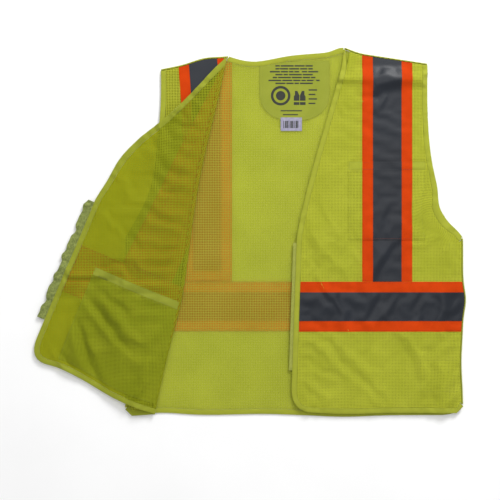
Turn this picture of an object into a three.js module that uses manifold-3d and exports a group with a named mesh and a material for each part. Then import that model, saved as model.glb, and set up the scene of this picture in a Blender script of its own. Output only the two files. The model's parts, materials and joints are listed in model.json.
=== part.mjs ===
// A high visibility vest laid flat on its back, in millimetres: +X is the wearer's left, +Y the neck,
// +Z up. The left front lies closed over the back. The right front is cut and sewn in its closed place,
// then turned over about its fold line, so that its inside shows.

import * as THREE from 'three';
import { mergeVertices } from 'three/addons/utils/BufferGeometryUtils.js';
import Module from 'manifold-3d';

const wasm = await Module();
wasm.setup();

// ---------- driving dimensions ----------

// thickness of each cloth and of the gaps between them; a front that turns over has room for its wrinkles
const meshThickness = 0.6;
const tapeThickness = 0.4;
const bindingThickness = 1.4;
const closureThickness = 0.9;
const labelThickness = 0.3;
const stickerThickness = 0.2;
const layerGap = 0.25;
const pieceGap = 0.3;
const torsoGap = 5;
const wrinkleRoom = 2.5;

// outline of the body
const halfChest = 302;
const underarmY = 122;
const backHemY = -194;
const frontHemY = -188;
const rightHemDrop = 6;
const cornerRadius = 12;
const neckLeft = { x: 93, y: 456 };
const neckRight = { x: -118, y: 447 };
const shoulderLeft = { x: 238, y: 434 };
const shoulderRight = { x: -238, y: 424 };
const neckDip = 9;
const armholeBulge = 22;

// edges of the two fronts
const leftEdge = { top: { x: 4.5, y: 120 }, foot: { x: -4.5, y: -148 } };
const rightEdge = { top: { x: 0, y: 120 }, foot: { x: 0, y: -150 } };
const edgeCorner = 38;
const leftFoldX = 94;
const rightFoldFoot = { x: -247, y: -187 };

// trims
const bindingWidth = 9;
const seamWidth = 3;
const tapeWidth = 89;
const silverWidth = 51;
const waistTapeY = 0;
const rightWaistDrop = 10;
const backTape = { left: 155.5, right: -155.5 };
const leftTapeX = 166;
const rightTape = { topX: -163.5, footX: -131 };
const closureWidth = 25;
const closureLength = 228;
const closureTopY = 114;
const loopReach = 14;
const hookReach = 6;

// pockets and labels
const chestPocket = { x: 97, top: 259, width: 137, height: 140, hem: 15 };
const innerPocket = { x: -48, top: 8, height: 187, hem: 14, foldMargin: 4 };
const neckLabel = { x: 1, width: 125, height: 108, corner: 52, underBinding: 2 };
const sizeSticker = { x: -5, width: 38, height: 24, overlap: 6 };
const sideLabel = { x: 224, top: -96, width: 73, height: 55 };

// ---------- heights of the layers, worked out from the floor up ----------

const above = (z, thickness) => z + thickness + layerGap;
const back = { silver: 0 };
back.orange = above(back.silver, tapeThickness);
back.mesh = above(back.orange, tapeThickness);
back.label = above(back.mesh, meshThickness);
back.sticker = above(back.label, labelThickness);

const right = { pocket: above(back.mesh, meshThickness) + wrinkleRoom };
right.mesh = above(right.pocket, meshThickness);
right.orange = above(right.mesh, meshThickness);
right.silver = above(right.orange, tapeThickness);
right.top = right.silver + tapeThickness;

const hookZ = above(right.mesh + (meshThickness + bindingThickness) / 2, 0);
const overHook = hookZ + closureThickness + layerGap + (bindingThickness - meshThickness) / 2;
const left = { mesh: Math.max(back.mesh + meshThickness + torsoGap, overHook) };
left.label = left.mesh - layerGap - labelThickness;
left.orange = above(left.mesh, meshThickness);
left.silver = above(left.orange, tapeThickness);
left.pocket = above(left.silver, tapeThickness);
left.pocketOrange = above(left.pocket, meshThickness);
left.pocketSilver = above(left.pocketOrange, tapeThickness);

// a front turned over lies pieceGap above what it is folded onto
const rightFoldZ = right.top + pieceGap / 2;

// ---------- cloth helpers ----------

const point = (x, y) => new THREE.Vector2(x, y);
const reversed = (points) => [...points].reverse();
const joined = (...runs) => runs.flat().filter((p, i, all) => i === 0 || p.distanceTo(all[i - 1]) > 0.01);

// a flat piece of cloth with this outline, its underside at height z
function cloth(outline, z, thickness) {
  const geometry = new THREE.ExtrudeGeometry(new THREE.Shape(outline), {
    depth: thickness,
    bevelEnabled: false,
  });
  return geometry.translate(0, 0, z);
}

function rectangle(x0, y0, x1, y1) {
  return [point(x0, y0), point(x1, y0), point(x1, y1), point(x0, y1)];
}

// a line moved sideways, to its own left when the distance is positive
function offset(line, distance) {
  return line.map((p, i) => {
    const before = line[Math.max(i - 1, 0)];
    const after = line[Math.min(i + 1, line.length - 1)];
    const along = after.clone().sub(before).normalize();
    return point(p.x - along.y * distance, p.y + along.x * distance);
  });
}

// the same line, run past both its ends, or stopped short of them when the distance is negative
function lengthened(line, by) {
  const end = line.length - 1;
  const outwards = (tip, next) => tip.clone().sub(next).normalize().multiplyScalar(by).add(tip);
  return [outwards(line[0], line[1]), ...line.slice(1, -1), outwards(line[end], line[end - 1])];
}

// the outline of a strip that lies along a line, between two distances to its left
function strip(line, inner, outer) {
  return [...offset(line, inner), ...reversed(offset(line, outer))];
}

function solid(geometry) {
  const bare = geometry.index ? geometry.toNonIndexed() : geometry.clone();
  bare.deleteAttribute('normal');
  bare.deleteAttribute('uv');
  const merged = mergeVertices(bare, 1e-4);
  return new wasm.Manifold(
    new wasm.Mesh({
      numProp: 3,
      vertProperties: new Float32Array(merged.attributes.position.array),
      triVerts: new Uint32Array(merged.index.array),
    }),
  );
}

function geometryOf(body) {
  const { vertProperties, triVerts } = body.getMesh();
  const geometry = new THREE.BufferGeometry();
  geometry.setAttribute('position', new THREE.BufferAttribute(new Float32Array(vertProperties), 3));
  geometry.setIndex(new THREE.BufferAttribute(new Uint32Array(triVerts), 1));
  return geometry;
}

// what is left of a piece of cloth once its cutters have been taken away, without any loose offcuts
function cut(geometry, ...cutters) {
  const body = cutters.reduce((rest, cutter) => rest.subtract(solid(cutter)), solid(geometry));
  const [largest] = body.decompose().sort((a, b) => b.volume() - a.volume());
  return geometryOf(largest);
}

// a cutter is tall enough to go through every layer of one side of the vest
const cutterBottom = -5;
const cutterHeight = 40;
const cutter = (outline) => cloth(outline, cutterBottom, cutterHeight);
const farAway = 900;
const cutterMargin = 1.5;

// ---------- edge lines, each run so that the cloth is on its left ----------

function curve(from, nearFrom, nearTo, to) {
  const corners = [from, nearFrom, nearTo, to].map((corner) => point(...corner));
  return new THREE.CubicBezierCurve(...corners).getPoints(16);
}

// from the shoulder on side -1 to the shoulder on side +1, so the cloth lies to its right
const backNeckLine = new THREE.SplineCurve([
  point(neckRight.x, neckRight.y),
  point(neckRight.x * 0.6, neckRight.y - neckDip),
  point(0, (neckLeft.y + neckRight.y) / 2 - neckDip / 4),
  point(neckLeft.x, neckLeft.y),
]).getPoints(20);

// down from the shoulder to the underarm
function armholeLine(tip, side) {
  const chest = side * halfChest;
  return curve(
    [tip.x, tip.y],
    [tip.x - side * 4, tip.y - 200],
    [chest - side * (armholeBulge + 24), underarmY + 80],
    [chest, underarmY],
  );
}

// down the V of a front, down its edge, round its corner and along its hem to the side
function frontLine(neck, edge, side, hemY) {
  const v = curve(
    [neck.x, neck.y],
    [neck.x + (edge.top.x - neck.x) * 0.34, neck.y - 110],
    [edge.top.x + side * 8, edge.top.y + 70],
    [edge.top.x, edge.top.y],
  );
  const corner = new THREE.QuadraticBezierCurve(
    point(edge.foot.x, edge.foot.y),
    point(edge.foot.x, hemY),
    point(edge.foot.x + side * edgeCorner, hemY),
  ).getPoints(8);
  const hem = [point(side * (halfChest - cornerRadius), hemY - 2)];
  return joined(v, corner, hem, [point(side * halfChest, hemY + cornerRadius - 2)]);
}

function backHemLine() {
  const corners = [-1, 1].map((side) =>
    new THREE.QuadraticBezierCurve(
      point(side * halfChest, backHemY + cornerRadius + 8),
      point(side * halfChest, backHemY + 3),
      point(side * (halfChest - cornerRadius * 3), backHemY),
    ).getPoints(6),
  );
  return joined(corners[0], reversed(corners[1]));
}

const armhole = { left: armholeLine(shoulderLeft, 1), right: armholeLine(shoulderRight, -1) };
const leftFrontLine = frontLine(neckLeft, leftEdge, 1, frontHemY);
const rightFrontLine = frontLine(neckRight, rightEdge, -1, frontHemY - rightHemDrop);
const backHem = backHemLine();
const backOutline = joined(backHem, reversed(armhole.left), reversed(backNeckLine), armhole.right);
const leftFrontOutline = joined(leftFrontLine, reversed(armhole.left));
const rightFrontOutline = joined(rightFrontLine, reversed(armhole.right));

// ---------- seams and bindings ----------

const shoulderLine = {
  left: [point(neckLeft.x, neckLeft.y), point(shoulderLeft.x, shoulderLeft.y)],
  right: [point(neckRight.x, neckRight.y), point(shoulderRight.x, shoulderRight.y)],
};
const sideLine = {
  left: [point(halfChest, backHemY + cornerRadius + 8), point(halfChest, underarmY)],
  right: [point(-halfChest, backHemY + cornerRadius + 8), point(-halfChest, underarmY)],
};
const inwards = { left: 1, right: -1 };

function seamCutter(line, side) {
  const along = lengthened(line, cutterMargin);
  return cutter(strip(along, -inwards[side] * cutterMargin, inwards[side] * (seamWidth + pieceGap)));
}

// the shoulder lines run away from the neck, so their cloth is on the other hand from the side lines'
const otherSide = { left: 'right', right: 'left' };
const seamCutters = [
  seamCutter(sideLine.left, 'left'),
  seamCutter(sideLine.right, 'right'),
  seamCutter(shoulderLine.left, otherSide.left),
  seamCutter(shoulderLine.right, otherSide.right),
];

// a seam reaches from the back's cloth to the front's
function seam(line, side, frontMesh) {
  const outline = strip(line, 0, inwards[side] * seamWidth);
  return cloth(outline, back.mesh, frontMesh + meshThickness - back.mesh);
}

// a folded binding holds the cloth's edge at mid height; hand is 1 where the cloth is on the line's left
function binding(line, hand, meshZ, ...cutters) {
  const z = meshZ + (meshThickness - bindingThickness) / 2;
  return cut(cloth(strip(line, 0, hand * bindingWidth), z, bindingThickness), ...cutters);
}

function bindingCutter(line, hand) {
  const along = lengthened(line, cutterMargin);
  return cutter(strip(along, -hand * cutterMargin, hand * (bindingWidth + pieceGap)));
}

const cutters = {
  backNeck: bindingCutter(backNeckLine, -1),
  backHem: bindingCutter(backHem, 1),
  leftFront: bindingCutter(leftFrontLine, 1),
  rightFront: bindingCutter(rightFrontLine, -1),
  leftArmhole: bindingCutter(armhole.left, -1),
  rightArmhole: bindingCutter(armhole.right, 1),
};

// ---------- folds ----------

const rightFold = {
  start: point(rightFoldFoot.x, rightFoldFoot.y),
  end: point(neckRight.x, neckRight.y),
};
const leftFold = { start: point(leftFoldX, frontHemY), end: point(leftFoldX, neckLeft.y) };

// takes away everything on one side of a fold line, hand 1 for the side on the line's left
function foldCutter(fold, hand) {
  const line = lengthened([fold.start, fold.end], farAway);
  return cutter(strip(line, (-hand * pieceGap) / 2, hand * farAway));
}

const keepMoving = { left: foldCutter(leftFold, -1), right: foldCutter(rightFold, 1) };
const keepFixed = { left: foldCutter(leftFold, 1), right: foldCutter(rightFold, -1) };

// ---------- tapes ----------

// a tape along a line from its foot to its top, cut by what bounds it
function tape(foot, top, width, z, ...cutters) {
  return cut(cloth(strip([foot, top], -width / 2, width / 2), z, tapeThickness), ...cutters);
}

const waistEdgeCutter = (y) =>
  cutter(rectangle(-farAway, -farAway, farAway, y + tapeWidth / 2 + pieceGap));
const aboveShoulders = [
  cutter(strip(lengthened(shoulderLine.left, farAway), -pieceGap, farAway)),
  cutter(strip(lengthened(reversed(shoulderLine.right), farAway), -pieceGap, farAway)),
];

function verticalTape(footX, topX, width, z, waistY, shoulder, ...cutters) {
  const foot = point(footX, waistY);
  const top = point(topX, neckLeft.y);
  return tape(foot, top, width, z, waistEdgeCutter(waistY), shoulder, ...seamCutters, ...cutters);
}

function waistTape(fromX, toX, y, width, z, ...cutters) {
  return tape(point(fromX, y), point(toX, y), width, z, ...seamCutters, ...cutters);
}

// ---------- the pieces ----------

const hiVis = new THREE.Color('#a8ae34');
const brightTrim = new THREE.Color('#b4bb3a');
const orangeCloth = new THREE.Color('#e2470c');
const silverCloth = new THREE.Color('#5a6068');
const darkClosure = new THREE.Color('#9aa052');
const paleLabel = new THREE.Color('#8f9832');
const stickerWhite = new THREE.Color('#c9c8d2');

function piece(name, geometry, color, roughness = 0.85, metalness = 0) {
  const material = new THREE.MeshStandardMaterial({ color, roughness, metalness });
  const mesh = new THREE.Mesh(geometry, material);
  mesh.name = name;
  return mesh;
}

function tapePair(name, build, level) {
  return [
    piece(`${name}_orange`, build(tapeWidth, level.orange), orangeCloth),
    piece(`${name}_silver`, build(silverWidth, level.silver), silverCloth, 0.4, 0.3),
  ];
}

function backPieces() {
  const edges = [cutters.backNeck, cutters.backHem, cutters.leftArmhole, cutters.rightArmhole];
  const mesh = cut(cloth(backOutline, back.mesh, meshThickness), ...seamCutters, ...edges);
  const vertical = (x, shoulder) => (width, z) =>
    verticalTape(x, x, width, z, waistTapeY, shoulder, cutters.backNeck);
  const waist = (width, z) => waistTape(-halfChest, halfChest, waistTapeY, width, z);
  return [
    piece('back_panel', mesh, hiVis),
    piece('back_neck_binding', binding(backNeckLine, -1, back.mesh, ...seamCutters), brightTrim),
    piece('back_hem_binding', binding(backHem, 1, back.mesh, ...seamCutters), brightTrim),
    piece('back_left_armhole_binding', binding(armhole.left, -1, back.mesh, ...seamCutters), brightTrim),
    piece('back_right_armhole_binding', binding(armhole.right, 1, back.mesh, ...seamCutters), brightTrim),
    ...tapePair('back_left_tape', vertical(backTape.left, aboveShoulders[0]), back),
    ...tapePair('back_right_tape', vertical(backTape.right, aboveShoulders[1]), back),
    ...tapePair('back_waist_tape', waist, back),
  ];
}

function seamPieces() {
  return [
    piece('left_side_seam', seam(sideLine.left, 'left', left.mesh), brightTrim),
    piece('right_side_seam', seam(sideLine.right, 'right', right.mesh), brightTrim),
    piece('left_shoulder_seam', seam(shoulderLine.left, otherSide.left, left.mesh), brightTrim),
    piece('right_shoulder_seam', seam(shoulderLine.right, otherSide.right, right.mesh), brightTrim),
  ];
}

// the label under the back of the neck: straight sides and a round bottom
function neckLabelOutline() {
  const half = neckLabel.width / 2;
  const top = (neckLeft.y + neckRight.y) / 2 - neckDip / 2 - bindingWidth + neckLabel.underBinding;
  const shape = new THREE.Shape();
  shape.moveTo(neckLabel.x - half, top - neckDip / 2);
  shape.lineTo(neckLabel.x - half, top - neckLabel.height + neckLabel.corner);
  shape.quadraticCurveTo(neckLabel.x - half, top - neckLabel.height, neckLabel.x, top - neckLabel.height);
  const right = neckLabel.x + half;
  shape.quadraticCurveTo(right, top - neckLabel.height, right, top - neckLabel.height + neckLabel.corner);
  shape.lineTo(right, top);
  return { outline: shape.getPoints(8), bottom: top - neckLabel.height };
}

function labelPieces() {
  const label = neckLabelOutline();
  const top = label.bottom + sizeSticker.overlap;
  const x0 = sizeSticker.x - sizeSticker.width / 2;
  const sticker = rectangle(x0, top - sizeSticker.height, x0 + sizeSticker.width, top);
  const side = rectangle(
    sideLabel.x,
    sideLabel.top - sideLabel.height,
    sideLabel.x + sideLabel.width,
    sideLabel.top,
  );
  return [
    piece('neck_label', cut(cloth(label.outline, back.label, labelThickness), cutters.backNeck), paleLabel),
    piece('size_sticker', cloth(sticker, back.sticker, stickerThickness), stickerWhite, 0.5),
    piece('side_label', cloth(side, left.label, labelThickness), paleLabel),
  ];
}

function leftFrontPieces() {
  const edges = [...seamCutters, cutters.leftFront, cutters.leftArmhole];
  const mesh = cloth(leftFrontOutline, left.mesh, meshThickness);
  const waist = (side) => (width, z) =>
    waistTape(leftEdge.foot.x, halfChest, waistTapeY, width, z, cutters.leftFront, side);
  const vertical = (width, z) =>
    verticalTape(leftTapeX, leftTapeX, width, z, waistTapeY, aboveShoulders[0]);
  return {
    fixed: [
      piece('left_side_panel', cut(mesh, ...edges, keepFixed.left), hiVis),
      piece('left_armhole_binding', binding(armhole.left, -1, left.mesh, ...seamCutters), brightTrim),
      piece(
        'left_hem_binding',
        binding(leftFrontLine, 1, left.mesh, ...seamCutters, keepFixed.left, cutter(aboveUnderarm())),
        brightTrim,
      ),
      ...tapePair('left_shoulder_tape', vertical, left),
      ...tapePair('left_waist_side_tape', waist(keepFixed.left), left),
    ],
    moving: [
      piece('left_front_panel', cut(mesh, ...edges, keepMoving.left), hiVis),
      piece(
        'left_front_binding',
        binding(leftFrontLine, 1, left.mesh, ...seamCutters, keepMoving.left),
        brightTrim,
      ),
      ...tapePair('left_waist_front_tape', waist(keepMoving.left), left),
    ],
  };
}

// everything higher than the underarm, where a hem binding has nothing to do
function aboveUnderarm() {
  return rectangle(-farAway, underarmY, farAway, farAway);
}

function chestPocketPieces() {
  const { x, top, width, height, hem } = chestPocket;
  const bottom = top - height;
  const underHem = top - hem - pieceGap;
  const patch = (wide, z) =>
    cloth(rectangle(leftTapeX - wide / 2, bottom, leftTapeX + wide / 2, top), z, tapeThickness);
  const pouch = cloth(rectangle(x, bottom, x + width, underHem), left.pocket, meshThickness);
  const mouth = cloth(rectangle(x, top - hem, x + width, top), left.pocket, meshThickness);
  return [
    piece('chest_pocket', pouch, hiVis),
    piece('chest_pocket_hem', mouth, brightTrim),
    ...tapePair('chest_pocket_tape', patch, { orange: left.pocketOrange, silver: left.pocketSilver }),
  ];
}

// the hook strip is sewn under the left front's edge and the loop strip runs on from the right front's
function closureStrip(edge, from, to, z) {
  const towards = point(edge.foot.x - edge.top.x, edge.foot.y - edge.top.y).normalize();
  const top = point(edge.top.x, edge.top.y).addScaledVector(towards, edge.top.y - closureTopY);
  const foot = top.clone().addScaledVector(towards, closureLength);
  return cloth(strip([foot, top], from, to), z, closureThickness);
}

function rightFrontPieces() {
  const edges = [...seamCutters, cutters.rightFront, cutters.rightArmhole];
  const mesh = cloth(rightFrontOutline, right.mesh, meshThickness);
  const waistY = waistTapeY - rightWaistDrop;
  const waist = (side) => (width, z) =>
    waistTape(-halfChest, rightEdge.foot.x, waistY, width, z, cutters.rightFront, side);
  const { footX, topX } = rightTape;
  const vertical = (side) => (width, z) =>
    verticalTape(footX, topX, width, z, waistY, aboveShoulders[1], cutters.rightFront, side);
  return {
    fixed: [
      piece('right_side_panel', cut(mesh, ...edges, keepFixed.right), hiVis),
      piece('right_armhole_binding', binding(armhole.right, 1, right.mesh, ...seamCutters), brightTrim),
      piece(
        'right_hem_binding',
        binding(rightFrontLine, -1, right.mesh, ...seamCutters, keepFixed.right, cutter(aboveUnderarm())),
        brightTrim,
      ),
      ...tapePair('right_shoulder_tape', vertical(keepFixed.right), right),
      ...tapePair('right_waist_side_tape', waist(keepFixed.right), right),
    ],
    moving: [
      piece('right_front_panel', cut(mesh, ...edges, keepMoving.right), hiVis),
      piece(
        'right_front_binding',
        binding(rightFrontLine, -1, right.mesh, ...seamCutters, keepMoving.right),
        brightTrim,
      ),
      ...tapePair('right_front_tape', vertical(keepMoving.right), right),
      ...tapePair('right_waist_front_tape', waist(keepMoving.right), right),
      ...innerPocketPieces(),
      piece(
        'loop_strip',
        closureStrip(rightEdge, -loopReach, -pieceGap, right.mesh - (closureThickness - meshThickness) / 2),
        darkClosure,
      ),
    ],
  };
}

// the pocket inside the right front, open at the top and reaching the fold
function innerPocketPieces() {
  const { x, top, height, hem, foldMargin } = innerPocket;
  const sideX = rightFoldFoot.x - foldMargin;
  const foldSide = cutter(
    strip(lengthened([rightFold.start, rightFold.end], farAway), -foldMargin, farAway),
  );
  const body = cloth(rectangle(sideX, top - height, x, top - hem - pieceGap), right.pocket, meshThickness);
  const mouth = cloth(rectangle(sideX, top - hem, x, top), right.pocket, meshThickness);
  return [
    piece('inner_pocket', cut(body, foldSide), hiVis),
    piece('inner_pocket_hem', cut(mouth, foldSide), brightTrim),
  ];
}

// turns what it holds by half a turn about a fold line, out of its closed place
function turnedOver(meshes, fold, foldZ) {
  const inner = new THREE.Group().add(...meshes);
  inner.position.set(-fold.end.x, -fold.end.y, -foldZ);
  const outer = new THREE.Group().add(inner);
  const along = fold.end.clone().sub(fold.start).normalize();
  outer.quaternion.setFromAxisAngle(new THREE.Vector3(along.x, along.y, 0), Math.PI);
  outer.position.set(fold.end.x, fold.end.y, foldZ);
  return outer;
}

const leftFront = leftFrontPieces();
const rightFront = rightFrontPieces();
const vest = new THREE.Group();
vest.name = 'high_visibility_vest';
vest.add(
  ...backPieces(),
  ...seamPieces(),
  ...labelPieces(),
  ...leftFront.fixed,
  ...leftFront.moving,
  piece(
    'hook_strip',
    closureStrip(leftEdge, hookReach - closureWidth, hookReach, hookZ),
    darkClosure,
  ),
  ...chestPocketPieces(),
  ...rightFront.fixed,
  turnedOver(rightFront.moving, rightFold, rightFoldZ),
);

export default vest;
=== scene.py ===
"""Looks of a high visibility vest, laid flat with its right front turned back, around its CAD frame."""

import json
import logging
import math
from collections.abc import Callable, Iterable
from dataclasses import dataclass, field
from enum import Enum

import bpy
import numpy as np
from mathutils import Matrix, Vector
from mathutils.bvhtree import BVHTree
from mathutils.geometry import delaunay_2d_cdt


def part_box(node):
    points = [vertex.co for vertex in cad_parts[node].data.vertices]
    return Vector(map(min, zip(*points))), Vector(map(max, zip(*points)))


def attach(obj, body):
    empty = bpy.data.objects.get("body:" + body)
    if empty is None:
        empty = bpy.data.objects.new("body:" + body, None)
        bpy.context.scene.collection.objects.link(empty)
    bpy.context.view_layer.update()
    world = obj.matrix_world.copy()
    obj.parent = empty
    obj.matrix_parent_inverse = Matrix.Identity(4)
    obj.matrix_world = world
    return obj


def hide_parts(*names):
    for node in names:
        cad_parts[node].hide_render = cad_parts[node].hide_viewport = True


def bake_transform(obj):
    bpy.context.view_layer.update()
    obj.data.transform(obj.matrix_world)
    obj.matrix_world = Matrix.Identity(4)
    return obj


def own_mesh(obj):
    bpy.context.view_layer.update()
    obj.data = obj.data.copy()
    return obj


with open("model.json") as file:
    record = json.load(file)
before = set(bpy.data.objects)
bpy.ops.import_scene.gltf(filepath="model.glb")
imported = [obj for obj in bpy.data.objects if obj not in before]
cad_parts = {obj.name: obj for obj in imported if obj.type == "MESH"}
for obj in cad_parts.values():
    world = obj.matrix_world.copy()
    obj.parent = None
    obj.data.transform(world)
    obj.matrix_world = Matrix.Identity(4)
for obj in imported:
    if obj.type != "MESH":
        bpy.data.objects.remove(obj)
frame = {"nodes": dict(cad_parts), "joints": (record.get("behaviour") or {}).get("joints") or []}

LOG = logging.getLogger("vest")
MM = 0.001
Loop = np.ndarray
Height = Callable[[np.ndarray], np.ndarray]

BODY = "vest_body"
LEFT = "left_front"
RIGHT = "right_front"
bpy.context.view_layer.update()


# ---------------------------------------------------------------- colour and nodes


def linear(hex_colour: str) -> tuple[float, float, float, float]:
    """Turns an sRGB hex colour into the linear colour that shaders take.

    Args:
        hex_colour: a colour such as "#a8ae34".

    Returns:
        Linear red, green, blue and an alpha of 1.
    """
    parts = [int(hex_colour[i : i + 2], 16) / 255 for i in (1, 3, 5)]
    lin = [c / 12.92 if c <= 0.04045 else ((c + 0.055) / 1.055) ** 2.4 for c in parts]
    return (lin[0], lin[1], lin[2], 1.0)


def add_node(
    tree: bpy.types.NodeTree, kind: str, settings: dict | None = None, **inputs: object
) -> bpy.types.Node:
    """Adds a node, sets its properties and fills or links its inputs.

    Args:
        tree: the node tree to add to.
        kind: the node's Blender type name.
        settings: properties of the node itself.
        **inputs: values or sockets by input name, with _ for a space, or by i and a number, such as i0.

    Returns:
        The new node.
    """
    node = tree.nodes.new(kind)
    for key, value in (settings or {}).items():
        setattr(node, key, value)
    for key, value in inputs.items():
        numbered = key[0] == "i" and key[1:].isdigit()
        socket = node.inputs[int(key[1:])] if numbered else node.inputs[key.replace("_", " ")]
        if isinstance(value, bpy.types.NodeSocket):
            tree.links.new(value, socket)
        else:
            socket.default_value = value
    return node


@dataclass
class Finish:
    """A material being built: its node tree, its cut-plane coordinates and its output."""

    name: str
    material: bpy.types.Material = field(init=False)
    tree: bpy.types.NodeTree = field(init=False)

    def __post_init__(self) -> None:
        """Starts an empty node tree."""
        self.material = bpy.data.materials.new(self.name)
        self.material.use_nodes = True
        self.tree = self.material.node_tree
        self.tree.nodes.clear()

    def node(self, kind: str, settings: dict | None = None, **inputs: object) -> bpy.types.Node:
        """Adds one node to this material."""
        return add_node(self.tree, kind, settings, **inputs)

    def flat(self, per_metre: float | tuple[float, float, float], turn: float = 0.0) -> bpy.types.NodeSocket:
        """Coordinates on the flat cut of the cloth, scaled for a pattern.

        Args:
            per_metre: repeats in a metre, for all axes or each one.
            turn: angle in radians that the pattern is turned in the cloth's plane.

        Returns:
            The scaled coordinate socket.
        """
        scale = per_metre if isinstance(per_metre, tuple) else (per_metre,) * 3
        cut = self.node("ShaderNodeAttribute", {"attribute_name": "cut", "attribute_type": "GEOMETRY"})
        mapping = self.node(
            "ShaderNodeMapping", Vector=cut.outputs["Vector"], Scale=scale, Rotation=(0, 0, turn)
        )
        return mapping.outputs[0]

    def maths(self, operation: str, *values: object) -> bpy.types.NodeSocket:
        """One arithmetic step on sockets or numbers."""
        inputs = {f"i{i}": v for i, v in enumerate(values)}
        return self.node("ShaderNodeMath", {"operation": operation}, **inputs).outputs[0]

    def threads(self, pitch: float, turn: float = 0.0) -> bpy.types.NodeSocket:
        """A lattice of bumps from -1 to 1, one repeat to each pitch along both threads.

        Args:
            pitch: spacing of the threads in metres.
            turn: angle of the threads in radians.

        Returns:
            The product of the two waves.
        """
        parts = self.node("ShaderNodeSeparateXYZ", Vector=self.flat(math.tau / pitch, turn))
        across = self.maths("SINE", parts.outputs[0])
        along = self.maths("SINE", parts.outputs[1])
        return self.maths("MULTIPLY", across, along)

    def cloudy(self, size: float, detail: float = 2.0) -> bpy.types.NodeSocket:
        """Soft uneven patches of about this size in metres, from 0 to 1."""
        noise = self.node("ShaderNodeTexNoise", Vector=self.flat(1 / size), Scale=1.0, Detail=detail)
        return noise.outputs[0]

    def step(self, value: bpy.types.NodeSocket, middle: float, half: float) -> bpy.types.NodeSocket:
        """A soft step from 0 to 1 as value passes this middle, within half on each side of it."""
        ramp = self.node(
            "ShaderNodeMapRange",
            {"interpolation_type": "SMOOTHSTEP"},
            Value=value,
            From_Min=middle - half,
            From_Max=middle + half,
        )
        return ramp.outputs[0]

    def shade(
        self, value: bpy.types.NodeSocket, low: str, high: str, start: float, end: float
    ) -> bpy.types.NodeSocket:
        """A colour that goes from low to high as value goes from start to end."""
        ramp = self.node("ShaderNodeValToRGB", Fac=value)
        ramp.color_ramp.elements[0].position = start
        ramp.color_ramp.elements[0].color = linear(low)
        ramp.color_ramp.elements[1].position = end
        ramp.color_ramp.elements[1].color = linear(high)
        return ramp.outputs[0]

    def bump(
        self, height: bpy.types.NodeSocket, distance: float, strength: float = 1.0
    ) -> bpy.types.NodeSocket:
        """A bumped normal from a height pattern, with its depth in metres."""
        node = self.node("ShaderNodeBump", Height=height, Distance=distance, Strength=strength)
        return node.outputs[0]

    def finish(self, shader: bpy.types.NodeSocket) -> bpy.types.Material:
        """Links the shader to the output and returns the material."""
        self.node("ShaderNodeOutputMaterial", Surface=shader)
        return self.material


# ---------------------------------------------------------------- finishes


@dataclass(frozen=True)
class PolyesterMesh:
    """Warp-knit polyester mesh in fluorescent yellow: small holes in a diagonal lattice, soft and matt."""

    name: str
    low: str
    high: str
    # what the holes let through is lit through the same cloth, so it looks yellow
    through: str
    # real holes are about 1.3 mm apart; they are drawn twice as far apart or more, so that they show
    hole_pitch: float = 3.3 * MM
    # level of the lattice wave above which there is a hole: the lower it is, the more of the cloth is open
    hole_level: float = 0.3
    # share of the light on the yarn that goes into the cloth and on through it
    glow_share: float = 0.55
    # how softly a hole's edge starts and ends, in levels of the lattice wave
    hole_edge: float = 0.18

    def build(self) -> bpy.types.Material:
        """Builds the material.

        Returns:
            A mesh cloth that shows what lies behind it through its holes.
        """
        f = Finish(self.name)
        knit = f.threads(self.hole_pitch * math.sqrt(2), math.radians(45))
        hole = f.step(knit, self.hole_level, self.hole_edge)
        colour = f.shade(f.cloudy(60 * MM), self.low, self.high, 0.3, 0.7)
        normal = f.bump(knit, 0.25 * MM, 0.5)
        yarn = f.node(
            "ShaderNodeBsdfPrincipled", Base_Color=colour, Roughness=0.75, Sheen_Weight=0.15, Normal=normal
        )
        yarn.inputs["Specular IOR Level"].default_value = 0.2
        glow = f.node("ShaderNodeBsdfTranslucent", Color=colour)
        thread = f.node("ShaderNodeMixShader", Fac=self.glow_share, i1=yarn.outputs[0], i2=glow.outputs[0])
        clear = f.node("ShaderNodeBsdfTransparent", Color=linear(self.through))
        cloth = f.node("ShaderNodeMixShader", Fac=hole, i1=thread.outputs[0], i2=clear.outputs[0])
        return f.finish(cloth.outputs[0])


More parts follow.
